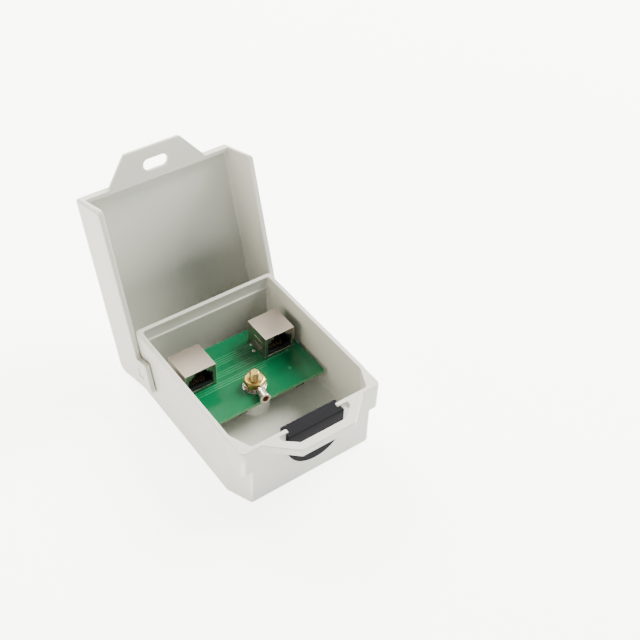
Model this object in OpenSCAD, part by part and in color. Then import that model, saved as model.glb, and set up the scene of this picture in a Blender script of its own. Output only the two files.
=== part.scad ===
// Weatherproof surge protector for an Ethernet line, lid open on its stop.
// Frame: X to the right, Y to the hinge, Z up. Origin: middle of the underside.

/* [Tray] */
// Outer width of the tray
tray_w = 73; // [68:0.5:90]
// Outer depth of the tray, without the lock loop
tray_d = 88; // [84:0.5:110]
// Height of the tray's rim
tray_h = 35; // [34:0.5:44]
// Side wall thickness
wall_t = 2.2; // [1.8:0.1:2.8]
// Floor thickness
floor_t = 2.2; // [1.6:0.1:3]
// Width of the chamfer on the front corners
chamfer_x = 5.1; // [3:0.1:7]
// Depth of the chamfer on the front corners
chamfer_y = 12; // [8:0.5:14]
// Height at which the corners fill out to a square
ear_z = 20.7; // [16:0.1:26]
// Step of a filled corner in from the side wall
ear_step = 0.3; // [0.2:0.05:0.6]
// Radius of the filled corners
ear_r = 2.2; // [1:0.1:4]
// Radius of the other upright edges
edge_r = 1.4; // [0.8:0.1:2.5]
// Distance of the rear ledge below the rim
ledge_drop = 6; // [4:0.1:9]
// Width of the rear ledge
ledge_t = 1.1; // [0.6:0.1:1.6]

/* [Lock loop] */
// Half width of the loop where it leaves the wall
loop_root = 26.3; // [24:0.1:28]
// Half width of the loop at its tip
loop_tip = 13.6; // [12:0.1:18]
// How far the loop stands out
loop_reach = 11.6; // [10:0.1:15]
// Thickness of the loop
loop_t = 4; // [3:0.1:5]
// Width of the bar across the loop's front
loop_bar = 4.4; // [3:0.1:5.5]
// Half width of the opening at the wall
loop_open = 17.8; // [16:0.1:18.5]

/* [Cable gland] */
// Radius of the notch in the front wall
notch_r = 12.7; // [10:0.1:14]
// Height of the centre of the notch
notch_z = 26.6; // [24:0.1:29]
// Overlap of the gland's flanges over the wall
gland_lap = 1.7; // [1:0.1:2]
// Thickness of the gland's outer flange
gland_out = 2.6; // [1.5:0.1:3.5]
// Thickness of the gland's inner flange
gland_in = 2.1; // [1.5:0.1:3]
// Distance of the gland's top below the rim
gland_drop = 0.4; // [0.2:0.1:1]
// Gap of the gland to the wall
gland_gap = 0.05; // [0.02:0.01:0.1]

/* [Lid] */
// Thickness of the lid's top and front skirt
lid_t = 2; // [1.6:0.1:2.4]
// Thickness of the lid's side walls
lid_side_t = 2.5; // [2:0.1:2.8]
// Thickness of the lid's rear wall
lid_rear_t = 1.5; // [1.4:0.1:2]
// Gap between the lid's side walls and the tray
side_gap = 0.4; // [0.4:0.05:1]
// How far the lid's front stands proud of the tray's
front_proud = 0.5; // [0:0.05:1]
// Gap between the lid's rear wall and the tray
rear_gap = 0.5; // [0.4:0.05:0.7]
// Gap of the closed lid above the rim
rim_gap = 0.3; // [0.3:0.05:0.5]
// Height of the lid above the rim
lid_rise = 6.6; // [6:0.1:9]
// Height of the free edge of the side walls when closed
side_edge_z = 16.8; // [12:0.1:18]
// Height of the underside of the hinge lugs when closed
lug_z = 8.4; // [6:0.1:9]
// Length of a hinge lug in front of the pivot
lug_front = 7.1; // [5:0.1:8]
// Radius of the rear top edge
lid_rear_r = 7.5; // [7:0.1:8]
// Radius of the other outer edges of the lid
lid_edge_r = 2; // [1:0.1:3]
// Inset of the groove on the lid from the sides
groove_inset = 11.4; // [9:0.1:14]
// Width of the groove on the lid
groove_w = 0.8; // [0.5:0.1:1.2]
// Depth of the groove on the lid
groove_t = 0.4; // [0.2:0.1:0.6]

/* [Hasp] */
// Half width of the hasp where it leaves the skirt
hasp_root = 25; // [22:0.1:27]
// Half width of the hasp at its tip
hasp_tip = 14.1; // [12:0.1:16]
// How far the hasp stands out from the skirt
hasp_reach = 13.4; // [12:0.1:16]
// Thickness of the hasp
hasp_t = 2.3; // [2:0.1:3]
// Length of the slot for the lock
hasp_slot_l = 12.6; // [9:0.1:15]
// Width of the slot for the lock
hasp_slot_w = 5.2; // [4.5:0.1:5.6]

/* [Hinge] */
// Distance of the pivot in front of the tray's rear face
pivot_back = 7.5; // [7:0.1:9]
// Height of the pivot
pivot_z = 15.4; // [15.2:0.1:16.5]
// Opening angle at which the lid meets its stop
open_angle = 107.3; // [100:0.1:108]
// Gap left at the stop
stop_gap = 0.2; // [0.1:0.05:0.4]
// Radius of a hinge pin in the lug
pin_r = 2.7; // [2.2:0.1:3]
// Radius of the pin's spigot in the tray
pin_spigot_r = 1.6; // [1.2:0.1:1.8]
// Running clearance of the pin in the lug
pin_fit = 0.08; // [0.05:0.01:0.1]
// Depth of the pin's face below the lug's face
pin_sink = 0.3; // [0.2:0.05:0.5]

/* [Circuit board] */
// Gap between the board and the tray's side walls
board_gap = 1.8; // [1.4:0.1:3]
// Depth of the board
board_d = 42.4; // [41:0.1:46]
// Thickness of the board
board_t = 1.6; // [1:0.1:2]
// Height of the board's underside
board_z = 13.2; // [12:0.1:15]
// Distance of the board's rear edge from the tray's rear face
board_back = 10; // [9:0.1:12]

/* [Jacks] */
// Width of a jack
jack_w = 16; // [15.6:0.1:16.6]
// Depth of a jack
jack_d = 15.3; // [15:0.1:18]
// Height of a jack above the board
jack_h = 12.9; // [12.6:0.1:13.6]
// Distance of a jack from the board's side edge
jack_side = 3; // [1.5:0.1:6]
// Distance of the jacks' rear from the board's rear edge
jack_back = 6.3; // [2:0.1:8]
// Width of the cuts round the sprung fingers in the shield's sides
finger_cut = 0.3; // [0.2:0.05:0.5]
// Thickness of the shield's sheet
shield_t = 0.25; // [0.2:0.05:0.4]
// Width by which the shield's front opening is wider than the plug's
face_extra = 1.2; // [0.6:0.1:1.4]
// Gap between the housing and the shield
shield_gap = 0.05; // [0.02:0.01:0.1]
// Width of the plug's opening
port_w = 12; // [11.8:0.1:12.6]
// Height of the plug's opening below the latch
port_h = 7.4; // [7:0.1:7.8]
// Depth of the plug's opening
port_d = 11.5; // [10:0.1:12]
// Height of the floor of the plug's opening above the board
port_z = 1.5; // [1.4:0.1:2]
// Radius of a locating peg
peg_r = 1.6; // [1:0.1:1.7]
// Clearance of the pegs and tails in the board
board_fit = 0.1; // [0.05:0.05:0.2]
// Pitch of the contacts
pitch = 1.02; // [1:0.01:1.1]
// Width of a contact wire
wire_w = 0.4; // [0.3:0.05:0.5]

/* [Earth stud] */
// Distance of the stud in front of the board's rear edge
stud_fore = 32.6; // [32:0.1:34]
// Radius of the stud
stud_r = 2.4; // [2.4:0.1:3]
// Clearance of the stud in its holes
stud_fit = 0.15; // [0.1:0.05:0.25]
// Height of the stud above the board
stud_rise = 9.3; // [8:0.1:12]
// Distance across the flats of the nut
nut_af = 9.2; // [8:0.1:10]
// Height of the nut
nut_h = 2.9; // [2.5:0.1:4]
// Radius of the boss under the board
boss_r = 7; // [6.6:0.1:8]
// Outer radius of the washers
washer_r = 5.5; // [5.3:0.1:6]
// Thickness of the washer under the board
spacer_t = 0.8; // [0.5:0.1:1.2]
// Thickness of the washer on the board
washer_t = 0.5; // [0.4:0.1:1]
// Thickness of the terminal's tongue
tongue_t = 0.7; // [0.5:0.1:1]
// Thickness of the spring washer
spring_t = 0.9; // [0.6:0.1:1.3]
// Outer radius of the crimp barrel
barrel_r = 2.3; // [1.8:0.05:2.5]
// Bore radius of the crimp barrel
barrel_bore = 1.7; // [1:0.05:1.9]
// Distance of the barrel's mouth from the stud
barrel_reach = 11.8; // [11:0.1:15]
// Length of the crimp barrel
barrel_l = 5.6; // [4:0.1:6]
// Turn of the terminal from the straight way to the front
terminal_turn = 8; // [-20:1:20]

/* [Protection parts] */
// Radius of a gas discharge tube
tube_r = 2.5; // [2:0.1:3]
// Length of a gas discharge tube
tube_l = 6; // [5:0.1:8]
// Distance of the gas discharge tubes from the centre line
tube_x = 9; // [8.5:0.1:10]
// Length, width and height of a suppressor diode
diode_size = [4.6, 3.6, 2.3]; // [1:0.1:6]
// Places of the two front diodes across the board
diode_front_x = [-11.7, 19.5]; // [-24:0.1:24]
// Distances of the middle and the rear diodes from the centre line
diode_x = [15, 20.2]; // [14.8:0.1:21]
// Distance of the front diodes behind the board's front edge
diode_edge = 2.8; // [2.2:0.1:3]
// Length, width and height of a chip resistor
chip_size = [3.2, 1.6, 0.6]; // [0.4:0.1:4]
// Distance of the chip resistors from the centre line
chip_x = 3.6; // [2:0.1:3.8]
// Pitch of the chip resistors
chip_pitch = 3.4; // [2:0.1:4]
// Least gap between the parts under the board
part_gap = 0.6; // [0.4:0.1:1]

/* [Hidden] */
$fn = 48;
eps = 0.01;
plastic = [0.87, 0.87, 0.82];
steel = [0.78, 0.74, 0.7];
half_w = tray_w / 2;
half_d = tray_d / 2;
inner_w = half_w - wall_t;
// The inner chamfer runs parallel to the outer one, a wall thickness inside
chamfer_len = norm([chamfer_x, chamfer_y]);
slope = chamfer_y / chamfer_x;
inset_x = wall_t * chamfer_y / chamfer_len;
inset_y = wall_t * chamfer_x / chamfer_len;
inner_cy = -half_d + chamfer_y + inset_y - (wall_t - inset_x) * slope;
inner_cx = half_w - inset_x - (half_d - wall_t - (half_d - chamfer_y - inset_y)) / slope;
// Lid
lid_half = half_w + side_gap + lid_side_t;
lid_front = -half_d - front_proud;
lid_rear = half_d + rear_gap + lid_rear_t;
lid_top = tray_h + lid_rise;
skirt_z = tray_h + rim_gap;
pivot_y = half_d - pivot_back;
spigot_l = wall_t - 0.6;
// The rear wall ends where its outer edge meets the tray's rear face at the stop
rear_edge_z = pivot_z + (pivot_back + stop_gap - (lid_rear - pivot_y) * cos(open_angle))
    / sin(open_angle);
lug_y = pivot_y - lug_front;
// The lock's slot lies over the loop's opening
hasp_slot_y = -half_d - loop_reach + loop_bar + 1.6;
// Board and jacks
board_top = board_z + board_t;
board_w = 2 * (inner_w - board_gap);
board_rear = half_d - board_back;
board_front = board_rear - board_d;
jack_x = board_w / 2 - jack_side - jack_w / 2;
stud_y = board_rear - stud_fore;
jack_rear = board_rear - jack_back;
jack_front = jack_rear - jack_d;
post_r = 2.4;
post_inset = 6;
// Places behind a jack's front that the board and the jack share
tail_y = [4, 6.5];
peg_y = 9;
peg_x = 5.7;
tab_y = 12;
tab_l = 1.6;
// Sill of a jack's housing in front of the contacts
sill_d = 2.2;
sill_h = 1.9;
// Rows under the board, kept clear of the contacts' tails and of each other
tube_y = jack_front + tail_y[0] - tube_r;
diode_y = [board_front + diode_edge, board_front + diode_edge + diode_size[1] + 2 * part_gap,
    jack_front - diode_size[1] / 2 - part_gap];
// Stack on the earth stud, from the boss up
boss_top = board_z - spacer_t;
tongue_z = board_top + washer_t;
spring_z = tongue_z + tongue_t;
nut_z = spring_z + spring_t;
stud_top = board_top + stud_rise;
stud_foot = floor_t + 1.6;
stud_tip = 0.8;
tongue_r = washer_r - 0.2;

// Round the corners of a closed outline, each with a radius of its own
function unit(v) = v / norm(v);
function corner(a, b, c, r, n) =
    let (u = unit(a - b), v = unit(c - b), half = acos(u * v) / 2,
        mid = b + unit(u + v) * r / sin(half),
        p = b + u * r / tan(half) - mid, q = b + v * r / tan(half) - mid,
        start = atan2(p[1], p[0]),
        sweep = (atan2(q[1], q[0]) - start + 540) % 360 - 180)
    [for (k = [0 : n]) mid + r * [cos(start + sweep * k / n), sin(start + sweep * k / n)]];
function rounded(pts, radii, n = 6) =
    let (m = len(pts))
    [for (i = [0 : m - 1]) each radii[i] == 0 ? [pts[i]] :
        corner(pts[(i + m - 1) % m], pts[i], pts[(i + 1) % m], radii[i], n)];

module mirrored(side) mirror([side < 0 ? 1 : 0, 0, 0]) children();
// Lay an outline drawn in Y and Z across the width, from x0 to x1
module across(x0, x1) translate([x0, 0, 0]) rotate([90, 0, 90])
    linear_extrude(x1 - x0) children();
// Lay an outline drawn in X and Z along the depth, from y0 to y1
module along(y0, y1) translate([0, y1, 0]) rotate([90, 0, 0])
    linear_extrude(y1 - y0) children();
module ring(z, h, outer, inner) translate([0, stud_y, z]) difference() {
    cylinder(h = h, r = outer);
    translate([0, 0, -1]) cylinder(h = h + 2, r = inner);
}
module hexagon(z, h) translate([0, stud_y, z]) rotate([0, 0, -34])
    cylinder(h = h, r = nut_af / sqrt(3), $fn = 6);
// Shape of the notch and of the gland in it, drawn in X and Z
module notch_shape(r, top) intersection() {
    union() {
        translate([0, notch_z]) circle(r);
        translate([-r, notch_z]) square([2 * r, 2 * r]);
    }
    translate([-r, notch_z - r]) square([2 * r, top - notch_z + r]);
}

module tray_outline() polygon(rounded(
    [[-half_w, half_d], [half_w, half_d], [half_w, -half_d + chamfer_y],
        [half_w - chamfer_x, -half_d], [-half_w + chamfer_x, -half_d],
        [-half_w, -half_d + chamfer_y]],
    [edge_r, edge_r, edge_r, edge_r, edge_r, edge_r]));
module ear_outline() let (w = half_w - ear_step) polygon(rounded(
    [[-w, -half_d + chamfer_y], [w, -half_d + chamfer_y], [w, -half_d], [-w, -half_d]],
    [0, 0, ear_r, ear_r]));
module cavity_outline(rear) polygon(rounded(
    [[-inner_w, rear], [inner_w, rear], [inner_w, inner_cy],
        [inner_cx, -half_d + wall_t], [-inner_cx, -half_d + wall_t], [-inner_w, inner_cy]],
    [edge_r, edge_r, edge_r, edge_r, edge_r, edge_r]));
module loop_outline() difference() {
    polygon(rounded(
        [[-loop_root, -half_d + wall_t / 2], [-loop_root, -half_d], [-loop_tip, -half_d - loop_reach],
            [loop_tip, -half_d - loop_reach], [loop_root, -half_d],
            [loop_root, -half_d + wall_t / 2]],
        [0, 0, 1.6, 1.6, 0, 0]));
    let (bar = -half_d - loop_reach + loop_bar, open_tip = loop_tip - 1.9) polygon(rounded(
        [[-loop_open, -half_d + wall_t], [-loop_open, -half_d - 2.2], [-open_tip, bar],
            [open_tip, bar], [loop_open, -half_d - 2.2], [loop_open, -half_d + wall_t]],
        [0, 1, 1, 1, 1, 0]));
}
module tray() color(plastic) difference() {
    union() {
        difference() {
            union() {
                linear_extrude(tray_h) tray_outline();
                translate([0, 0, ear_z]) linear_extrude(tray_h - ear_z) ear_outline();
            }
            translate([0, 0, floor_t]) linear_extrude(tray_h)
                cavity_outline(half_d - wall_t - ledge_t);
            translate([0, 0, tray_h - ledge_drop]) linear_extrude(tray_h)
                cavity_outline(half_d - wall_t);
            along(-half_d - 1, -half_d + wall_t + 1) notch_shape(notch_r, tray_h + 1);
        }
        translate([0, 0, tray_h - loop_t]) linear_extrude(loop_t) loop_outline();
        translate([0, stud_y, 0]) cylinder(h = boss_top, r = boss_r);
        for (x = [-1, 1], y = [board_front + 2 * post_inset, board_rear - post_inset])
            translate([x * (board_w / 2 - post_inset), y, 0]) cylinder(h = board_z, r = post_r);
    }
    translate([0, stud_y, stud_foot]) cylinder(h = tray_h, r = stud_r);
    for (side = [-1, 1]) mirrored(side) translate([half_w - spigot_l, pivot_y, pivot_z])
        rotate([0, 90, 0]) cylinder(h = spigot_l + 1, r = pin_spigot_r);
}

// The lid is drawn closed, then swung open about its pivot
module lid_side(front, rear, top, rear_r, edge) polygon(rounded(
    [[front, side_edge_z], [front, top], [rear, top], [rear, lug_z], [lug_y, lug_z],
        [lug_y, side_edge_z]],
    [edge, edge, rear_r, 3, 1, 0.8], 8));
module lid_shell() difference() {
    intersection() {
        across(-lid_half, lid_half) lid_side(lid_front, lid_rear, lid_top, lid_rear_r, lid_edge_r);
        along(lid_front - 1, lid_rear + 1) polygon(rounded(
            [[-lid_half, 0], [-lid_half, lid_top], [lid_half, lid_top], [lid_half, 0]],
            [0, lid_edge_r, lid_edge_r, 0]));
        linear_extrude(lid_top + 1) polygon(rounded(
            [[-lid_half, lid_front], [-lid_half, lid_rear], [lid_half, lid_rear],
                [lid_half, lid_front]], [lid_edge_r, lid_edge_r, lid_edge_r, lid_edge_r]));
    }
    across(-lid_half + lid_side_t, lid_half - lid_side_t) polygon(rounded(
        [[lid_front + lid_t, 0], [lid_front + lid_t, lid_top - lid_t],
            [lid_rear - lid_rear_t, lid_top - lid_t], [lid_rear - lid_rear_t, 0]],
        [0, 0.8, lid_rear_r - lid_rear_t, 0], 8));
    across(-lid_half + lid_side_t, lid_half - lid_side_t) {
        translate([lid_front - 1, 0]) square([lid_t + 2, skirt_z]);
        translate([lid_rear - lid_rear_t - 1, 0]) square([lid_rear_t + 2, rear_edge_z]);
    }
}
module groove() let (x = lid_half - groove_inset, y0 = lid_front + 8.7, y1 = lid_rear - 8.7)
    translate([0, 0, lid_top - groove_t]) linear_extrude(1) difference() {
        polygon(rounded([[-x, y0], [-x, y1], [x, y1], [x, y0]], [3, 3, 3, 3]));
        let (w = groove_w) polygon(rounded([[-x + w, y0 + w], [-x + w, y1 - w], [x - w, y1 - w],
            [x - w, y0 + w]], [3 - w, 3 - w, 3 - w, 3 - w]));
    }
module hasp() translate([0, 0, skirt_z]) linear_extrude(hasp_t) difference() {
    polygon(rounded(
        [[-hasp_root, lid_front + lid_t], [-hasp_root, lid_front],
            [-hasp_tip, lid_front - hasp_reach], [hasp_tip, lid_front - hasp_reach],
            [hasp_root, lid_front], [hasp_root, lid_front + lid_t]],
        [0, 0, 2, 2, 0, 0]));
    for (x = [-1, 1]) translate([x * (hasp_slot_l - hasp_slot_w) / 2, hasp_slot_y])
        circle(hasp_slot_w / 2);
    translate([-(hasp_slot_l - hasp_slot_w) / 2, hasp_slot_y - hasp_slot_w / 2])
        square([hasp_slot_l - hasp_slot_w, hasp_slot_w]);
}
module lid() color(plastic) translate([0, pivot_y, pivot_z]) rotate([-open_angle, 0, 0])
    translate([0, -pivot_y, -pivot_z]) {
        difference() {
            union() {
                lid_shell();
                hasp();
                for (x = [-1, 1]) translate([x * (lid_half - lid_side_t), -half_d + 4, side_edge_z + 3.4])
                    rotate([0, 90, 0]) cylinder(h = side_gap, r = 0.9, center = true);
            }
            groove();
            translate([0, pivot_y, pivot_z]) rotate([0, 90, 0])
                cylinder(h = 2 * lid_half + 2, r = pin_r + pin_fit, center = true);
        }
    }

module hinge_pin(side) color("gainsboro") mirrored(side) translate([half_w, pivot_y, pivot_z])
    rotate([0, 90, 0]) {
        cylinder(h = side_gap + lid_side_t - pin_sink, r = pin_r);
        translate([0, 0, -spigot_l]) cylinder(h = spigot_l + eps, r = pin_spigot_r);
    }
module hinge_pin_left() hinge_pin(-1);
module hinge_pin_right() hinge_pin(1);

module cable_gland() color([0.16, 0.16, 0.18]) let (top = tray_h - gland_drop,
        flange = notch_r + gland_lap, out = -half_d - gland_gap,
        inn = -half_d + wall_t + gland_gap) {
    along(out - gland_out, out) notch_shape(flange, top);
    along(out - eps, inn + eps) notch_shape(notch_r - gland_gap, top);
    along(inn, inn + gland_in) notch_shape(flange, top);
}

module at_jack(side) translate([side * jack_x, jack_front, board_top]) children();
module circuit_board() color([0.05, 0.45, 0.25]) difference() {
    translate([-board_w / 2, board_front, board_z]) cube([board_w, board_d, board_t]);
    translate([0, stud_y, 0]) cylinder(h = tray_h, r = stud_r + stud_fit);
    for (side = [-1, 1]) at_jack(side) {
        for (x = [-1, 1]) translate([x * peg_x, peg_y, -5]) cylinder(h = 9, r = peg_r + board_fit);
        for (x = [-1, 1]) translate([x * (jack_w - shield_t) / 2, tab_y, -5])
            cube([shield_t + 4 * board_fit, tab_l + 2 * board_fit, 18], center = true);
        for (i = [0 : 7]) translate([(i - 3.5) * pitch, tail_y[i % 2] + wire_w / 2, -5])
            cylinder(h = 9, r = wire_w / sqrt(2) + board_fit);
    }
}

// Shape of the plug's opening, drawn in X and Z above the board
module port_shape(extra = 0) let (w = port_w + extra) {
    translate([-w / 2, port_z]) square([w, port_h + extra / 2]);
    translate([-w * 0.375, port_z]) square([w * 0.75, port_h + 1.3 + extra / 2]);
    translate([-3.1 - extra / 4, port_z]) square([6.2 + extra / 2, jack_h - port_z - 0.6]);
}
module jack_shield() color(steel) {
    difference() {
        translate([-jack_w / 2, 0, 0.15]) cube([jack_w, jack_d, jack_h - 0.15]);
        translate([-jack_w / 2 + shield_t, shield_t, -1])
            cube([jack_w - 2 * shield_t, jack_d - 2 * shield_t, jack_h + 1 - shield_t]);
        along(-1, shield_t + 1) port_shape(face_extra);
        for (z = [4.6, 8.4]) translate([-jack_w, 3, z]) cube([2 * jack_w, 6.5, finger_cut]);
        translate([-jack_w, 3, 4.6]) cube([2 * jack_w, finger_cut, 4]);
    }
    for (x = [-1, 1]) translate([x * (jack_w - shield_t) / 2, tab_y, -0.9])
        cube([shield_t, tab_l, 5], center = true);
}
module jack_housing() color([0.08, 0.08, 0.09]) let (g = shield_t + shield_gap, w = jack_w - 2 * g,
        comb = 8 * pitch + 0.4) difference() {
    union() {
        translate([-w / 2, g, 0]) cube([w, jack_d - 2 * g, jack_h - g]);
        for (x = [-1, 1]) translate([x * peg_x, peg_y, -board_t - 1.2])
            cylinder(h = board_t + 1.3, r = peg_r);
    }
    difference() {
        along(-1, port_d) port_shape();
        translate([-port_w / 2 - 1, 0, 0]) cube([port_w + 2, sill_d, port_z + sill_h]);
    }
    translate([-comb / 2, tail_y[0] - 1, -1]) cube([comb, 4.6, port_z + 2]);
}
// Each contact rises from its tail, runs to the sill and slopes back up to the rear
module contact(y) let (t = wire_w, low = port_z + 0.5, high = port_z + 3.6, bend = sill_d + 0.4)
    translate([-t / 2, 0, 0]) across(0, t) polygon(
        [[y, -board_t - 1.4], [y + t, -board_t - 1.4], [y + t, low + t], [bend + 0.9, low + t],
            [bend + 5.6, high - t], [bend + 5.6, high], [bend, low + t], [bend, low], [y, low]]);
module jack_contacts() color([0.83, 0.68, 0.35]) for (i = [0 : 7])
    translate([(i - 3.5) * pitch, 0, 0]) contact(tail_y[i % 2]);
module jack_shield_left() at_jack(-1) jack_shield();
module jack_shield_right() at_jack(1) jack_shield();
module jack_housing_left() at_jack(-1) jack_housing();
module jack_housing_right() at_jack(1) jack_housing();
module jack_contacts_left() at_jack(-1) jack_contacts();
module jack_contacts_right() at_jack(1) jack_contacts();

module earth_stud() color([0.8, 0.66, 0.3]) let (h = stud_top - stud_foot)
    translate([0, stud_y, stud_foot]) rotate_extrude() polygon(
        [[0, 0], [stud_r, 0], [stud_r, h - stud_tip], [stud_r - stud_tip, h], [0, h]]);
module spacer_washer() color(steel) ring(boss_top, spacer_t, washer_r, stud_r + stud_fit);
module flat_washer() color(steel) ring(board_top, washer_t, washer_r, stud_r + stud_fit);
module ring_terminal() color([0.82, 0.76, 0.72]) difference() {
    union() {
        translate([0, stud_y, tongue_z]) cylinder(h = tongue_t, r = tongue_r);
        translate([0, stud_y, tongue_z]) rotate([0, 0, -terminal_turn]) {
            translate([-1.6, -barrel_reach + barrel_l - 0.4, 0])
                cube([3.2, barrel_reach - barrel_l - 2, tongue_t]);
            translate([0, -barrel_reach + barrel_l, barrel_r]) rotate([90, 0, 0])
                cylinder(h = barrel_l, r = barrel_r);
            translate([0, -barrel_reach + 0.8, barrel_r]) rotate([90, 0, 0])
                cylinder(h = 0.8, r = barrel_r + 0.35);
        }
    }
    translate([0, stud_y, tongue_z - 1]) cylinder(h = tongue_t + 2, r = stud_r + stud_fit);
    translate([0, stud_y, tongue_z + barrel_r]) rotate([0, 0, -terminal_turn])
        translate([0, -barrel_reach + barrel_l - 0.6, 0]) rotate([90, 0, 0])
            cylinder(h = barrel_l + 1, r = barrel_bore);
}
module spring_washer() color(steel) difference() {
    ring(spring_z, spring_t, washer_r - 0.6, stud_r + stud_fit);
    translate([0, stud_y, spring_z - 1]) rotate([0, 0, 200]) translate([0, -0.35, 0])
        cube([washer_r + 1, 0.7, spring_t + 2]);
}
module hex_nut() color([0.85, 0.7, 0.36]) difference() {
    intersection() {
        hexagon(nut_z, nut_h);
        translate([0, stud_y, nut_z]) rotate_extrude()
            let (r = nut_af / 2, tip = nut_af / sqrt(3) + 0.1) polygon(
                [[0, 0], [r, 0], [tip, 0.5], [tip, nut_h - 0.5], [r, nut_h], [0, nut_h]]);
    }
    translate([0, stud_y, nut_z - 1]) cylinder(h = nut_h + 2, r = stud_r + eps);
}

// Parts on the board's underside
module gas_tubes() color([0.75, 0.75, 0.76])
    for (x = [-tube_x, tube_x], y = [tube_y, tube_y - 2 * tube_r - part_gap])
        translate([x - tube_l / 2, y, board_z - tube_r - eps]) rotate([0, 90, 0])
            cylinder(h = tube_l, r = tube_r);
module under_board(x, y, size)
    translate([x - size[0] / 2, y - size[1] / 2, board_z - size[2]]) cube(size);
module suppressor_diodes() color([0.12, 0.12, 0.13]) {
    for (x = diode_front_x) under_board(x, diode_y[0], diode_size);
    for (side = [-1, 1], k = [0, 1]) under_board(side * diode_x[k], diode_y[k + 1], diode_size);
}
module chip_resistors() color([0.2, 0.2, 0.22])
    for (x = [-chip_x, chip_x], k = [0 : 3])
        under_board(x, tube_y - tube_r + k * chip_pitch, chip_size);

tray();
lid();
hinge_pin_left();
hinge_pin_right();
cable_gland();
circuit_board();
jack_shield_left();
jack_shield_right();
jack_housing_left();
jack_housing_right();
jack_contacts_left();
jack_contacts_right();
earth_stud();
spacer_washer();
flat_washer();
ring_terminal();
spring_washer();
hex_nut();
gas_tubes();
suppressor_diodes();
chip_resistors();
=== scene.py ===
# %% [markdown]
# # A surge protector for a network line, with its lid open
# The real object is a grey moulded box. A lid with a hasp turns on two pins at
# its back, and a rubber gland closes the notch in its front wall. Inside lie a
# green board, two screened jacks and an earth stud. The solid model gives each
# piece its size and place. This lesson softens its edges, adds what a drawing
# leaves out, and gives each piece its finish.

# %% The solid model and its box
import math

import bmesh
import bpy
from mathutils import Matrix, Vector


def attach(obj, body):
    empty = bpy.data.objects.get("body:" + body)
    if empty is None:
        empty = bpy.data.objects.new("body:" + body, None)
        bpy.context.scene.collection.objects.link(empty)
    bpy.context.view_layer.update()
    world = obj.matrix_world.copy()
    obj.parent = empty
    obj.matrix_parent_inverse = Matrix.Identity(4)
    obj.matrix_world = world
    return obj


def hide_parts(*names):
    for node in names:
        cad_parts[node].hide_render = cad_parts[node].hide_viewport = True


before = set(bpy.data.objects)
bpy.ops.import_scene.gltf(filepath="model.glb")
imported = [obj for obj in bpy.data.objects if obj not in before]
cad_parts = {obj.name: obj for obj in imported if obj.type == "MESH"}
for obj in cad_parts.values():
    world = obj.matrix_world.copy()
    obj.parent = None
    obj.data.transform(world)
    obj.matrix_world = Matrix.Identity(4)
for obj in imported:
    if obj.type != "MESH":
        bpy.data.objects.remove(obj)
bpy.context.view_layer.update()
scene = bpy.context.scene
MM = 0.001

# %% [markdown]
# ## Where the camera stands
# The camera is placed by the point it stands on, two angles and a small roll.
# The numbers come from the corners of the tray, solved for a lens of about
# 61 mm. Building its three axes as a matrix keeps the roll exact, which a
# track-to constraint would lose.

# %% The camera
AZIMUTH, ELEVATION, ROLL = (math.radians(a) for a in (-37.846, 43.854, 2.842))
EYE = Vector((-185.6, -283.9, 384.4)) * MM

back = Vector((math.sin(AZIMUTH) * math.cos(ELEVATION),
               -math.cos(AZIMUTH) * math.cos(ELEVATION), math.sin(ELEVATION)))
side = (-back).cross(Vector((0, 0, 1))).normalized()
up = side.cross(-back)
rolled_side = side * math.cos(ROLL) + up * math.sin(ROLL)
rolled_up = up * math.cos(ROLL) - side * math.sin(ROLL)

camera_data = bpy.data.cameras.new("camera")
camera_data.lens = 61.39
camera_data.sensor_width = 36
camera_data.clip_start = 0.01
camera = bpy.data.objects.new("camera", camera_data)
camera.matrix_world = Matrix.Translation(EYE) @ Matrix(
    (rolled_side, rolled_up, back)).transposed().to_4x4()
scene.collection.objects.link(camera)
scene.camera = camera
print("camera at", [round(v, 3) for v in EYE])

# %% [markdown]
# ## Effects that several finishes share
# Moulded plastic, rubber and plated metal all have a fine grain. The edges
# get a painted highlight: a lighter colour along each edge stands in for the
# thin line of light that an edge catches. Each effect is one node group with
# named inputs, so a finish only sets how fine and how strong it is. A group
# puts out masks and heights, and the shader stays in the material.


# %% A helper that starts a node group with its named inputs and outputs
def effect_group(name, inputs, outputs):
    group = bpy.data.node_groups.new(name, "ShaderNodeTree")
    for label, value in inputs:
        socket = group.interface.new_socket(
            name=label, in_out="INPUT", socket_type="NodeSocketFloat")
        socket.default_value = value
    for label in outputs:
        group.interface.new_socket(
            name=label, in_out="OUTPUT", socket_type="NodeSocketFloat")
    nodes, link = group.nodes, group.links.new
    return group, nodes, link, nodes.new("NodeGroupInput"), nodes.new("NodeGroupOutput")


# %% Grain: a height for the bump and a slow drift of tone
grain, nodes, link, given, put = effect_group(
    "surface_grain", [("Grain per metre", 2500.0), ("Stretch", 1.0)],
    ["Height", "Drift"])
place = nodes.new("ShaderNodeTexCoord")
stretch = nodes.new("ShaderNodeCombineXYZ")
for axis in "YZ":
    stretch.inputs[axis].default_value = 1.0
link(given.outputs["Stretch"], stretch.inputs["X"])
mapped = nodes.new("ShaderNodeMapping")
link(place.outputs["Object"], mapped.inputs["Vector"])
link(stretch.outputs[0], mapped.inputs["Scale"])
fine = nodes.new("ShaderNodeTexNoise")
fine.inputs["Detail"].default_value = 4.0
link(mapped.outputs[0], fine.inputs["Vector"])
link(given.outputs["Grain per metre"], fine.inputs["Scale"])
slow = nodes.new("ShaderNodeTexNoise")
slow.inputs["Scale"].default_value = 45.0
slow.inputs["Detail"].default_value = 3.0
link(place.outputs["Object"], slow.inputs["Vector"])
link(fine.outputs[0], put.inputs["Height"])
link(slow.outputs[0], put.inputs["Drift"])
print("effect:", grain.name, [o.name for o in put.inputs if o.name])
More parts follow.
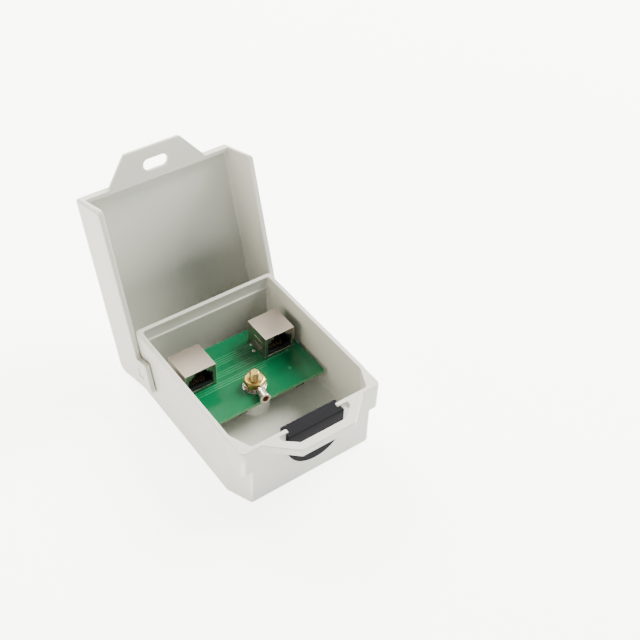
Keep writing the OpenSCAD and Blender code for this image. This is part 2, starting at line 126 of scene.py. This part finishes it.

# %% Painted edge highlight: where a rounded normal leaves the flat one
edge_highlight_group, nodes, link, given, put = effect_group(
    "painted_edge_highlight", [("Radius", 0.0004), ("Reach", 0.12)], ["Mask"])
round_normal = nodes.new("ShaderNodeBevel")
round_normal.samples = 4
link(given.outputs["Radius"], round_normal.inputs["Radius"])
surface = nodes.new("ShaderNodeNewGeometry")
agree = nodes.new("ShaderNodeVectorMath")
agree.operation = "DOT_PRODUCT"
link(round_normal.outputs[0], agree.inputs[0])
link(surface.outputs["True Normal"], agree.inputs[1])
edge_amount = nodes.new("ShaderNodeMath")
edge_amount.operation = "SUBTRACT"
edge_amount.inputs[0].default_value = 1.0
link(agree.outputs["Value"], edge_amount.inputs[1])
edge_share = nodes.new("ShaderNodeMath")
edge_share.operation = "DIVIDE"
edge_share.use_clamp = True
link(edge_amount.outputs[0], edge_share.inputs[0])
link(given.outputs["Reach"], edge_share.inputs[1])
link(edge_share.outputs[0], put.inputs["Mask"])
print("effect:", edge_highlight_group.name, [o.name for o in put.inputs if o.name])


# %% A finish: base colour with drift and a painted edge highlight, roughness and grain
def finish(name, color, deep, highlight_color=None, roughness=0.45, metallic=0.0, per_metre=2500.0,
           stretch=1.0, bump=0.15, depth=0.02, coat=0.0, specular=0.5, rough_span=0.08,
           radius=0.4, highlight_share=0.35):
    material = bpy.data.materials.new(name)
    material.use_nodes = True
    nodes, link = material.node_tree.nodes, material.node_tree.links.new
    shader = nodes["Principled BSDF"]
    shader.inputs["Metallic"].default_value = metallic
    shader.inputs["Coat Weight"].default_value = coat
    shader.inputs["Coat Roughness"].default_value = 0.12
    shader.inputs["Specular IOR Level"].default_value = specular
    texture = nodes.new("ShaderNodeGroup")
    texture.node_tree = grain
    texture.inputs["Grain per metre"].default_value = per_metre
    texture.inputs["Stretch"].default_value = stretch
    tone = nodes.new("ShaderNodeMix")
    tone.data_type = "RGBA"
    tone.inputs["A"].default_value = (*deep, 1)
    tone.inputs["B"].default_value = (*color, 1)
    link(texture.outputs["Drift"], tone.inputs["Factor"])
    shown = tone.outputs["Result"]
    # The lighter colour along the edges is a painted highlight.
    if highlight_color:
        edges = nodes.new("ShaderNodeGroup")
        edges.node_tree = edge_highlight_group
        edges.inputs["Radius"].default_value = radius * MM
        share = nodes.new("ShaderNodeMath")
        share.operation = "MULTIPLY"
        share.inputs[1].default_value = highlight_share
        link(edges.outputs["Mask"], share.inputs[0])
        lighter = nodes.new("ShaderNodeMix")
        lighter.data_type = "RGBA"
        lighter.inputs["B"].default_value = (*highlight_color, 1)
        link(share.outputs[0], lighter.inputs["Factor"])
        link(shown, lighter.inputs["A"])
        shown = lighter.outputs["Result"]
    link(shown, shader.inputs["Base Color"])
    spread = nodes.new("ShaderNodeMapRange")
    spread.inputs["To Min"].default_value = roughness - rough_span / 2
    spread.inputs["To Max"].default_value = roughness + rough_span / 2
    link(texture.outputs["Height"], spread.inputs["Value"])
    link(spread.outputs[0], shader.inputs["Roughness"])
    relief = nodes.new("ShaderNodeBump")
    relief.inputs["Strength"].default_value = bump
    relief.inputs["Distance"].default_value = depth * MM
    link(texture.outputs["Height"], relief.inputs["Height"])
    link(relief.outputs[0], shader.inputs["Normal"])
    return material


# %% [markdown]
# ## The finishes
# The case is a warm pale grey plastic with a satin skin. The screens of the
# jacks are nickel plate, which picks up a warm tint from the room. The board
# is glossy green lacquer over glass cloth, paler where copper lies under it.

# %% The finishes of the case, the pins and the gland
# Where a finish has a third colour, it is a painted edge highlight.
case_plastic = finish(
    "case_plastic", (0.57, 0.58, 0.528), (0.535, 0.545, 0.495), (0.80, 0.81, 0.76),
    roughness=0.42, per_metre=5200, bump=0.22, depth=0.012, specular=0.45, radius=0.55,
    highlight_share=0.7)
pin_plastic = finish(
    "pin_plastic", (0.565, 0.57, 0.51), (0.53, 0.535, 0.48), (0.65, 0.655, 0.60),
    roughness=0.4, per_metre=5200, bump=0.2, depth=0.01)
black_rubber = finish(
    "black_rubber", (0.006, 0.0065, 0.009), (0.004, 0.0045, 0.007), (0.03, 0.032, 0.04),
    roughness=0.72, per_metre=3800, bump=0.35, depth=0.03, specular=0.1, radius=0.35)

# %% The finishes of the board: bare, cut at its edge, and over copper
# Where a finish has a third colour, it is a painted edge highlight.
board_green = finish(
    "board_green", (0.002, 0.12, 0.044), (0.002, 0.10, 0.036), (0.012, 0.20, 0.08),
    roughness=0.2, per_metre=1500, bump=0.06, depth=0.01, specular=0.4)
board_edge = finish(
    "board_edge", (0.10, 0.30, 0.13), (0.07, 0.24, 0.10), roughness=0.55, per_metre=9000,
    bump=0.3)
trace_green = finish(
    "trace_green", (0.014, 0.21, 0.082), (0.011, 0.18, 0.07), (0.04, 0.32, 0.14),
    roughness=0.24, per_metre=1500, bump=0.05, depth=0.01, coat=0.15, specular=0.45)

# %% The finishes of the metals and of the black parts
# Where a finish has a third colour, it is a painted edge highlight.
shield_steel = finish(
    "shield_steel", (0.41, 0.355, 0.30), (0.35, 0.30, 0.25), (1.0, 0.97, 0.92),
    roughness=0.36, metallic=1.0, per_metre=1600, stretch=0.12, bump=0.08, depth=0.01,
    radius=0.3, highlight_share=0.8)
zinc_steel = finish(
    "zinc_steel", (0.62, 0.62, 0.60), (0.52, 0.52, 0.50), (0.8, 0.8, 0.78),
    roughness=0.28, metallic=1.0, per_metre=2600, bump=0.1, depth=0.01, radius=0.15)
stud_brass = finish(
    "stud_brass", (0.55, 0.39, 0.13), (0.45, 0.31, 0.09), (1.0, 0.88, 0.56),
    roughness=0.33, metallic=1.0, per_metre=2400, bump=0.04, depth=0.01, radius=0.14,
    highlight_share=0.8, rough_span=0.03)
tinned_copper = finish(
    "tinned_copper", (0.74, 0.65, 0.58), (0.62, 0.53, 0.47), (0.86, 0.80, 0.75),
    roughness=0.26, metallic=1.0, per_metre=2200, bump=0.12, depth=0.012, radius=0.18)
bare_copper = finish(
    "bare_copper", (0.52, 0.27, 0.18), (0.40, 0.19, 0.12), roughness=0.5, metallic=0.6)
contact_gold = finish(
    "contact_gold", (0.62, 0.46, 0.22), (0.52, 0.37, 0.17), roughness=0.3, metallic=1.0,
    bump=0.05)
# A pale gold for the beads: a painted glint on the bends of the contacts.
painted_contact_glint = finish(
    "painted_contact_glint", (1.0, 0.90, 0.66), (0.95, 0.84, 0.58), roughness=0.4, metallic=0.4)
solder_tin = finish(
    "solder_tin", (0.66, 0.66, 0.65), (0.54, 0.54, 0.53), roughness=0.24, metallic=1.0,
    per_metre=1800, bump=0.15)
black_plastic = finish(
    "black_plastic", (0.014, 0.014, 0.016), (0.009, 0.009, 0.010), (0.035, 0.035, 0.04),
    roughness=0.38, per_metre=4200, bump=0.2, radius=0.15)
chip_black = finish(
    "chip_black", (0.02, 0.02, 0.022), (0.013, 0.013, 0.015), (0.06, 0.06, 0.065),
    roughness=0.42, per_metre=4800, bump=0.25, radius=0.15)
tube_ceramic = finish(
    "tube_ceramic", (0.60, 0.60, 0.61), (0.52, 0.52, 0.53), (0.8, 0.8, 0.8),
    roughness=0.3, metallic=1.0, per_metre=2000)
print("finishes:", len(bpy.data.materials))

# %% [markdown]
# ## Softening the solid pieces
# A solid model has knife edges, and real mouldings and pressings have none. A
# copy of a node is merged, its flat faces are joined, and its sharp edges are
# bevelled, so that each one catches a thin line of light. The copy stands for
# the node and rides on the same body.
#
# One radius does not suit a whole moulding. An edge with room beside it gets a
# wide bevel. An edge beside a narrow face, such as the wall of a groove, gets a
# small one. The edges of a face that runs to a point stay sharp, because two
# bevels would cross there.


# %% Helpers that end every piece
def shaded(bm, name, material, crease=32):
    mesh = bpy.data.meshes.new(name)
    bm.to_mesh(mesh)
    bm.free()
    mesh.materials.append(material)
    mesh.shade_smooth()
    mesh.set_sharp_from_angle(angle=math.radians(crease))
    piece = bpy.data.objects.new(name, mesh)
    scene.collection.objects.link(piece)
    return piece


def finished(bm, name, material, body="base", stands_for=(), crease=32):
    piece = shaded(bm, name, material, crease)
    even = piece.modifiers.new("even shading", "WEIGHTED_NORMAL")
    even.keep_sharp = True
    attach(piece, body)
    if stands_for:
        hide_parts(*stands_for)
    print(name, len(piece.data.polygons), "faces")
    return piece


def sharp_edges(bm, sharp):
    return [e for e in bm.edges if len(e.link_faces) == 2
            and e.calc_face_angle(0.0) > math.radians(sharp)]


def bevel_all(bm, radius, segments=2, sharp=30):
    bmesh.ops.bevel(bm, geom=sharp_edges(bm, sharp), offset=radius * MM, offset_type="OFFSET",
                    affect="EDGES", segments=segments, profile=0.5, material=-1,
                    clamp_overlap=True)
    return bm


# The mesh of a solid with its triangles joined to flat faces
def merged(node):
    bm = bmesh.new()
    bm.from_mesh(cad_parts[node].data)
    bmesh.ops.remove_doubles(bm, verts=bm.verts, dist=2e-6)
    bmesh.ops.dissolve_degenerate(bm, edges=bm.edges, dist=1e-6)
    bmesh.ops.dissolve_limit(bm, angle_limit=math.radians(0.4), verts=bm.verts, edges=bm.edges)
    return bm


def softened(node, radius, segments=2, sharp=28):
    return bevel_all(merged(node), radius, segments, sharp)


# How far the narrower face beside an edge reaches away from it
def room_beside(edge):
    start = edge.verts[0].co
    along = (edge.verts[1].co - start).normalized()
    return min(max((v.co - start - along * (v.co - start).dot(along)).length
                   for v in face.verts) for face in edge.link_faces)


# Whether two sharp edges of a face meet in a thin point
def runs_to_a_point(face, sharp, least=36):
    return any(corner.calc_angle() < math.radians(least)
               and corner.edge.calc_face_angle(0.0) > math.radians(sharp)
               and corner.link_loop_prev.edge.calc_face_angle(0.0) > math.radians(sharp)
               for corner in face.loops)


ROOM_PER_RADIUS = 2.2


def moulded(node, radius, tight_radius, segments=3, sharp=28):
    bm = merged(node)
    pointed = {e for f in bm.faces if runs_to_a_point(f, sharp) for e in f.edges}
    edges = [e for e in sharp_edges(bm, sharp) if e not in pointed]
    for edge in edges:
        edge.seam = room_beside(edge) < ROOM_PER_RADIUS * radius * MM
    wide = [e for e in edges if not e.seam]
    print(node, "wide edges", len(wide), "tight edges", len(edges) - len(wide),
          "left sharp", len(pointed))
    bmesh.ops.bevel(bm, geom=wide, offset=radius * MM, offset_type="OFFSET", affect="EDGES",
                    segments=segments, profile=0.5, material=-1, clamp_overlap=False)
    tight = [e for e in bm.edges if e.seam and len(e.link_faces) == 2
             and e.calc_face_angle(0.0) > math.radians(sharp)]
    bmesh.ops.bevel(bm, geom=tight, offset=tight_radius * MM, offset_type="OFFSET",
                    affect="EDGES", segments=2, profile=0.5, material=-1, clamp_overlap=False)
    return bm


# %% [markdown]
# ## The case
# The tray and the lid are injection mouldings, and the lid turns on two pressed
# pins. They could be drawn again as subdivision surfaces, but their walls,
# ledges and nubs are already true in the solid model, so only their edges are
# worked on. The gland is cast rubber, and its edges are rounder.

# %% The tray, the lid and the pins
EDGE_R, TIGHT_R, PIN_EDGE_R = 0.45, 0.12, 0.2
finished(moulded("tray", EDGE_R, TIGHT_R), "tray_moulding", case_plastic,
         stands_for=["tray"])
finished(moulded("lid", EDGE_R, TIGHT_R), "lid_moulding", case_plastic,
         body="cover", stands_for=["lid"])
for side_name in ("left", "right"):
    finished(softened(f"hinge_pin_{side_name}", PIN_EDGE_R), f"pin_{side_name}",
             pin_plastic, stands_for=[f"hinge_pin_{side_name}"])

# %% The gland
finished(softened("cable_gland", 0.45, segments=3), "gland_rubber", black_rubber,
         stands_for=["cable_gland"])

# %% [markdown]
# ## The jacks
# Each jack is a black moulding in a folded screen of thin plated sheet. The
# sheet is only a quarter of a millimetre thick, so its edges get a very small
# bevel. Each bend of the eight contacts gets a small bead of pale gold, a
# painted glint for the little light that enters the port. A paler metal on
# the whole wire would shine along its length.


# %% Small shapes to build from, in millimetres
def block(bm, low, high):
    low, high = Vector(low) * MM, Vector(high) * MM
    size = high - low
    matrix = Matrix.Translation((low + high) / 2) @ Matrix.Diagonal((*size, 1))
    bmesh.ops.create_cube(bm, size=1, matrix=matrix)


def rod(bm, middle, low_r, high_r, length):
    bmesh.ops.create_cone(
        bm, cap_ends=True, segments=32, radius1=low_r * MM, radius2=high_r * MM,
        depth=length * MM, matrix=Matrix.Translation(Vector(middle) * MM))


# %% Screens, housings and contacts
BOARD_TOP = 14.8
SHEET_EDGE_R, HOUSING_EDGE_R = 0.08, 0.12
for side_name in ("left", "right"):
    finished(softened(f"jack_shield_{side_name}", SHEET_EDGE_R), f"screen_{side_name}",
             shield_steel, stands_for=[f"jack_shield_{side_name}"])
    finished(softened(f"jack_housing_{side_name}", HOUSING_EDGE_R), f"housing_{side_name}",
             black_plastic, stands_for=[f"jack_housing_{side_name}"])
    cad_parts[f"jack_contacts_{side_name}"].data.materials[0] = contact_gold

# %% Painted glints: pale beads at the bends of the contacts in each port
JACK_X, CONTACT_PITCH, BEND_Y, BEND_Z, BEND_R = 21.5, 1.02, 16.0, 17.25, 0.28
glint_beads = bmesh.new()
for middle in (-JACK_X, JACK_X):
    for k in range(8):
        x = middle + (k - 3.5) * CONTACT_PITCH
        bmesh.ops.create_uvsphere(
            glint_beads, u_segments=12, v_segments=8, radius=BEND_R * MM,
            matrix=Matrix.Translation(Vector((x, BEND_Y, BEND_Z)) * MM))
finished(glint_beads, "contact_glint_beads", painted_contact_glint)

# %% [markdown]
# ## The board
# The lacquered board shows its copper as slightly raised, paler bands, in
# bundles that run between the jacks. A painted mask could show them, but real
# height also catches the light, so they are thin blocks with bevelled edges
# that stand a few hundredths of a millimetre proud. Domes of tin mark the joints.

# %% The board and its copper bands
board = softened("circuit_board", 0.1, segments=1, sharp=40)
for face in board.faces:
    face.material_index = 1 if abs(face.normal.z) < 0.5 else 0
blank = finished(board, "board_blank", board_green,
                 stands_for=["circuit_board"])
blank.data.materials.append(board_edge)
TRACE_W, TRACE_H, TRACE_SUNK = 0.42, 0.05, 0.05
# Each band: its place along Y, then its left and right ends
TRACES = ((25.2, -14, 14), (23.9, -14, 14), (22.6, -14, 14), (21.3, -14, 10.6),
          (17.2, -14, 14), (15.9, -14, 14), (14.6, -14, 14),
          (11.6, -31, 26), (10.3, -31, 12), (9.0, -31, 12))
SPOT_X, SPOT_Y, SPOT_R, SPOT_TOP_R, SPOT_H = 19.8, 1.75, 1.0, 0.8, 0.24
copper = bmesh.new()
for y, left, right in TRACES:
    block(copper, (left, y - TRACE_W / 2, BOARD_TOP - TRACE_SUNK),
          (right, y + TRACE_W / 2, BOARD_TOP + TRACE_H))
rod(copper, (SPOT_X, SPOT_Y, BOARD_TOP), SPOT_R, SPOT_TOP_R, SPOT_H)
bevel_all(copper, 0.03, 1)
finished(copper, "board_copper", trace_green)

# %% Tinned points on the board
# Each dome: its place along X and Y, then its radius
DOMES = ((12.0, 20.4, 0.95), (-13.3, 24.4, 0.8), (13.3, 24.4, 0.8), (-29.7, 24.4, 0.8),
         (29.7, 24.4, 0.8))
DOME_SQUASH = 0.55
tin = bmesh.new()
for x, y, r in DOMES:
    dome = bmesh.ops.create_uvsphere(
        tin, u_segments=20, v_segments=10, radius=r * MM,
        matrix=Matrix.Translation(Vector((x, y, BOARD_TOP)) * MM))["verts"]
    bmesh.ops.scale(tin, vec=(1, 1, DOME_SQUASH), verts=dome,
                    space=Matrix.Translation(Vector((-x, -y, -BOARD_TOP)) * MM))
finished(tin, "board_tin", solder_tin)

# %% [markdown]
# ## The earth stud
# The stud has a real screw thread. One zigzag line is spun once round while it
# rises by a pitch, and its turns are merged, which is how a thread is cut. Two
# bisecting planes trim its ends, and its tip is narrowed to a cone. A bump map
# could draw the thread, but its outline would stay straight.

# %% The threaded stud
STUD_Y, PITCH, CREST, ROOT = 1.4, 0.8, 2.39, 1.95
STUD_LOW, STUD_HIGH = 3.8, 24.1
TIP_H, TIP_SLOPE = 0.7, 0.9
stud = bmesh.new()
steps = int((STUD_HIGH - STUD_LOW) / PITCH) + 4
line = [stud.verts.new(Vector((ROOT if k % 2 else CREST, STUD_Y,
                               STUD_LOW - PITCH * 2 + k * PITCH / 2)) * MM)
        for k in range(2 * steps)]
edges = [stud.edges.new(pair) for pair in zip(line, line[1:])]
bmesh.ops.spin(stud, geom=line + edges, cent=Vector((0, STUD_Y, 0)) * MM, axis=(0, 0, 1),
               dvec=Vector((0, 0, PITCH / 48)) * MM, angle=math.tau, steps=48)
bmesh.ops.remove_doubles(stud, verts=stud.verts, dist=1e-6)
for height, outward in ((STUD_LOW, -1), (STUD_HIGH, 1)):
    cut = bmesh.ops.bisect_plane(
        stud, geom=stud.verts[:] + stud.edges[:] + stud.faces[:], dist=1e-7,
        plane_co=Vector((0, STUD_Y, height)) * MM, plane_no=(0, 0, outward), clear_outer=True)
    rim = [e for e in cut["geom_cut"] if isinstance(e, bmesh.types.BMEdge)]
    bmesh.ops.holes_fill(stud, edges=rim, sides=0)
for v in stud.verts:
    over = max(0.0, v.co.z / MM - (STUD_HIGH - TIP_H))
    reach = Vector((v.co.x, v.co.y - STUD_Y * MM, 0))
    limit = (CREST - over * TIP_SLOPE) * MM
    if over > 0 and reach.length > limit:
        v.co -= reach * (1 - limit / reach.length)
bmesh.ops.recalc_face_normals(stud, faces=stud.faces)
finished(stud, "stud_threaded", stud_brass, stands_for=["earth_stud"], crease=50)

# %% [markdown]
# ## The nut
# A brass nut is turned from a bar, and then its six flats are milled. It is made
# here in the same order: a profile is spun once round the stud's axis, and six
# planes cut the flats. The cone of the profile leaves the curved line at the
# top of each flat, which a bevelled prism would not have.

# %% The nut, turned and milled
NUT_LOW, NUT_HIGH, NUT_FLATS, NUT_BORE = 16.9, 19.8, 9.2, 2.42
CUT_R, CUT_SLOPE, LEAD_IN, NUT_STEPS = 4.2, 0.55, 0.25, 96
bar_r = NUT_FLATS / math.sqrt(3) + 0.05
drop = (bar_r - CUT_R) * CUT_SLOPE
axis_at = Vector((0, STUD_Y, 0)) * MM
far_corner = max((v.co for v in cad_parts["hex_nut"].data.vertices),
                 key=lambda co: (co - axis_at).xy.length) - axis_at
first = math.atan2(far_corner.y, far_corner.x)


def away(angle):
    return Vector((math.cos(angle), math.sin(angle), 0))


nut = bmesh.new()
profile = [nut.verts.new(axis_at + (away(first) * r + Vector((0, 0, z))) * MM) for r, z in (
    (NUT_BORE, NUT_LOW), (NUT_BORE, NUT_HIGH - LEAD_IN), (NUT_BORE + LEAD_IN, NUT_HIGH),
    (CUT_R, NUT_HIGH), (bar_r, NUT_HIGH - drop), (bar_r, NUT_LOW + drop), (CUT_R, NUT_LOW))]
outline = [nut.edges.new(pair) for pair in zip(profile, profile[1:] + profile[:1])]
bmesh.ops.spin(nut, geom=profile + outline, cent=axis_at, axis=(0, 0, 1), dvec=(0, 0, 0),
               angle=math.tau, steps=NUT_STEPS, use_merge=True)
bmesh.ops.remove_doubles(nut, verts=nut.verts, dist=1e-6)
for k in range(6):
    outward = away(first + math.pi / 6 + k * math.pi / 3)
    cut = bmesh.ops.bisect_plane(
        nut, geom=nut.verts[:] + nut.edges[:] + nut.faces[:], dist=1e-7,
        plane_co=axis_at + outward * NUT_FLATS / 2 * MM, plane_no=outward, clear_outer=True)
    rim = [e for e in cut["geom_cut"] if isinstance(e, bmesh.types.BMEdge)]
    bmesh.ops.holes_fill(nut, edges=rim, sides=0)
bmesh.ops.remove_doubles(nut, verts=nut.verts, dist=1e-6)
bmesh.ops.recalc_face_normals(nut, faces=nut.faces)
open_edges = sum(len(e.link_faces) != 2 for e in nut.edges)
print("nut:", len(nut.faces), "faces,", open_edges, "open edges,",
      round(nut.calc_volume() / MM ** 3, 1), "cubic mm")
finished(bevel_all(nut, 0.07, sharp=24), "nut_brass", stud_brass,
         stands_for=["hex_nut"], crease=30)

# %% [markdown]
# ## The washers and the terminal
# The washers are stamped from zinc plated strip, and the terminal is a ring and
# barrel of tinned copper. Their solids are right as they are, so they only get
# soft edges. The bore of the barrel is bare copper. A second object could line
# it, but a second material on the faces that look towards the barrel's axis
# leaves no gap.

# %% The washers
for node in ("spacer_washer", "flat_washer", "spring_washer"):
    finished(softened(node, 0.1), node + "_zinc", zinc_steel,
             stands_for=[node])

# %% The terminal and its bore
BORE_FROM, BORE_TO, AXIS_Z = 1.2, 1.9, 17.6
AXIS_POINT = Vector((0, STUD_Y, AXIS_Z)) * MM
AXIS = Vector((-0.139173, -0.990268, 0))
terminal_mesh = softened("ring_terminal", 0.12)
for face in terminal_mesh.faces:
    arm = face.calc_center_median() - AXIS_POINT
    arm -= AXIS * arm.dot(AXIS)
    in_bore = BORE_FROM * MM < arm.length < BORE_TO * MM and face.normal.dot(arm) < 0
    face.material_index = 1 if in_bore else 0
terminal = finished(terminal_mesh, "terminal_tinned", tinned_copper,
                    stands_for=["ring_terminal"])
terminal.data.materials.append(bare_copper)
print("bore faces:", sum(p.material_index == 1 for p in terminal.data.polygons))

# %% [markdown]
# ## The parts under the board
# Gas tubes, diodes and resistors hang under the board and are seen only through
# the gap at its edge. Simple bodies with soft edges are enough there.

# %% The parts under the board
for node, piece_name, material, slot, radius, segments in (
        ("gas_tubes", "tubes", tube_ceramic, "tube_ceramic", 0.35, 2),
        ("suppressor_diodes", "diodes", chip_black, "chip_black", 0.15, 2),
        ("chip_resistors", "resistors", chip_black, "chip_black", 0.06, 1)):
    finished(softened(node, radius, segments), piece_name, material,
             stands_for=[node])

# %% [markdown]
# ## The floor
# The picture is a catalogue shot on a white light table. The table glows, so
# the outer walls are bright and the inside stays in soft shade. A white sheet
# under strong lamps would do too, but it would light the inside as well. The
# camera sees the table brighter than it lights the part, as it looks when it is
# overexposed.

# %% The floor
FLOOR_HALF = 4.0
floor_mesh = bmesh.new()
bmesh.ops.create_grid(floor_mesh, x_segments=1, y_segments=1, size=FLOOR_HALF)
floor_white = finish("floor_white", (0.86, 0.86, 0.86), (0.84, 0.84, 0.84), roughness=0.9,
                     per_metre=60, bump=0.02)
GLOW_COLOR, GLOW, SEEN_GLOW = (1, 0.99, 0.965, 1), 2.1, 5.0
nodes, link = floor_white.node_tree.nodes, floor_white.node_tree.links.new
glow = nodes["Principled BSDF"]
glow.inputs["Emission Color"].default_value = GLOW_COLOR
ray = nodes.new("ShaderNodeLightPath")
strength = nodes.new("ShaderNodeMapRange")
strength.inputs["To Min"].default_value = GLOW
strength.inputs["To Max"].default_value = SEEN_GLOW
link(ray.outputs["Is Camera Ray"], strength.inputs["Value"])
link(strength.outputs[0], glow.inputs["Emission Strength"])
floor = shaded(floor_mesh, "floor", floor_white)
print("floor glows", GLOW, "and is seen as", SEEN_GLOW)

# %% [markdown]
# ## The lights
# Large soft lights stand low on the left, on the right and behind the lid. They
# reach the rims, the tops and the outer walls, and the walls keep them off the
# tray's floor. A weak one in front looks into the lid and the ports. Area lights
# are used because their size sets how soft the shade is.


# %% The lights
def soft_light(name, spot, aim, width, power, color=(1, 1, 1)):
    data = bpy.data.lights.new(name, "AREA")
    data.shape = "SQUARE"
    data.size = width
    data.energy = power
    data.color = color
    light = bpy.data.objects.new(name, data)
    light.location = spot
    light.rotation_euler = (Vector(aim) - Vector(spot)).to_track_quat("-Z", "Y").to_euler()
    scene.collection.objects.link(light)


MIDDLE = (0, 0, 0.03)
soft_light("left", (-1.466, 0.02, 0.36), MIDDLE, 1.1, 32, (1.0, 0.89, 0.72))
soft_light("right", (1.11, 0.097, 1.004), MIDDLE, 0.9, 84, (1.0, 0.96, 0.88))
soft_light("rear", (0.1, 1.21, 0.93), MIDDLE, 0.7, 55, (1.0, 0.97, 0.92))
soft_light("front", (-0.33, -0.91, 1.15), MIDDLE, 0.9, 2.2)
print("lights:", sorted(light.name for light in bpy.data.lights))

# %% [markdown]
# ## The room
# A faint cool light from all round fills what the lights do not reach. A sky
# could give it, but a plain colour leaves no pattern in the polished parts. To
# the camera the room is nearly as pale as the table, so the table's far edge
# hardly shows.

# %% The room
world = bpy.data.worlds.new("studio")
world.use_nodes = True
nodes, link = world.node_tree.nodes, world.node_tree.links.new
faint = nodes["Background"]
faint.inputs["Color"].default_value = (0.80, 1, 0.95, 1)
faint.inputs["Strength"].default_value = 0.15
pale = nodes.new("ShaderNodeBackground")
pale.inputs["Color"].default_value = GLOW_COLOR
pale.inputs["Strength"].default_value = SEEN_GLOW
path = nodes.new("ShaderNodeLightPath")
seen = nodes.new("ShaderNodeMixShader")
link(path.outputs["Is Camera Ray"], seen.inputs[0])
link(faint.outputs[0], seen.inputs[1])
link(pale.outputs[0], seen.inputs[2])
link(seen.outputs[0], nodes["World Output"].inputs["Surface"])
scene.world = world
print("room:", world.name)
